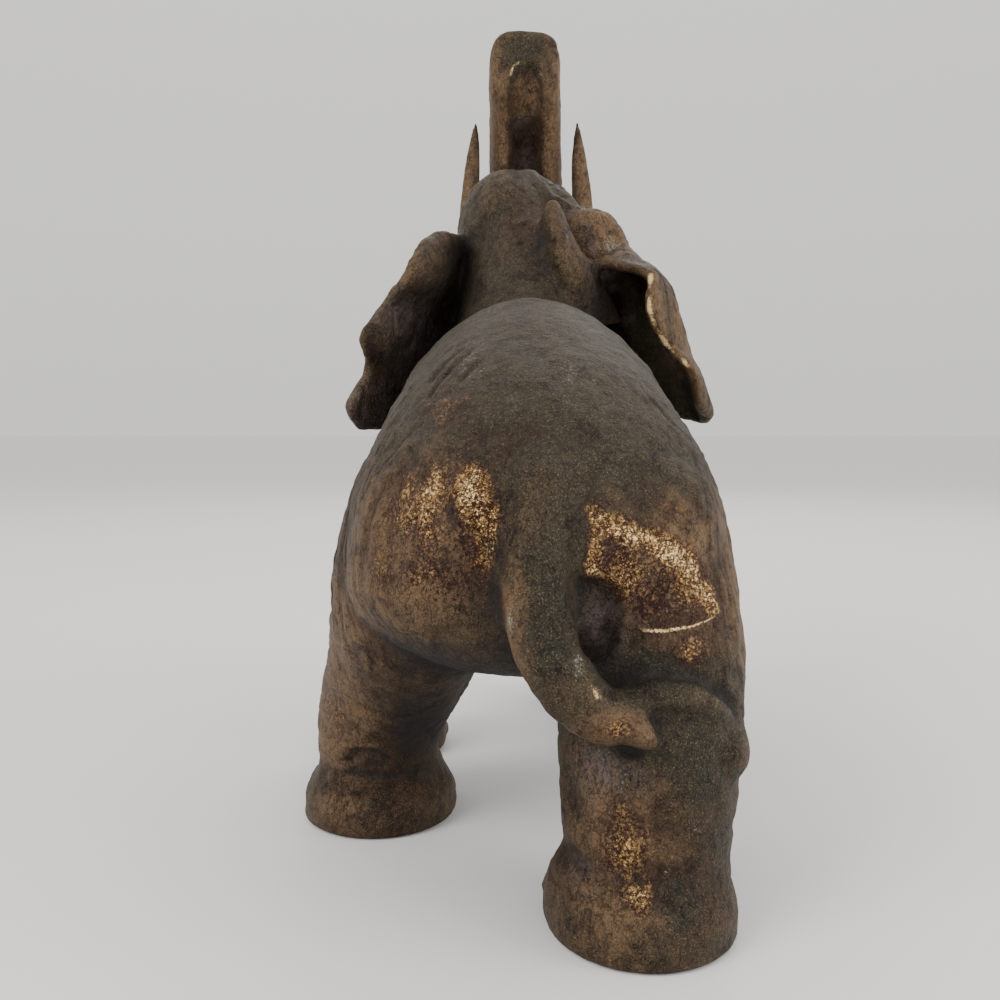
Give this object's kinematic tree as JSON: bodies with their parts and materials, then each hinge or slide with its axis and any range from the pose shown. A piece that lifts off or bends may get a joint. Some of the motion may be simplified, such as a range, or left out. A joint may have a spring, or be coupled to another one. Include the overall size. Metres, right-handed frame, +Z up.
{
  "type": "bronze elephant sculpture",
  "caption": "Small cast bronze elephant, walking with its trunk raised over a thrown-back head, ears flared and tail curled to one side.",
  "frame": {"origin": "on the ground, under the middle of the figure's bounding box", "axes": "+Z up, the elephant walks and faces towards -Y, its left side is +X"},
  "size_m": [0.0663, 0.1195, 0.1357],
  "materials": {
    "bronze": "brown and olive patina over cast bronze, rubbed through to gold on the high places, dark in the recesses"
  },
  "bodies": {
    "root": {"bronze_elephant": "bronze"}
  },
  "joints": []
}
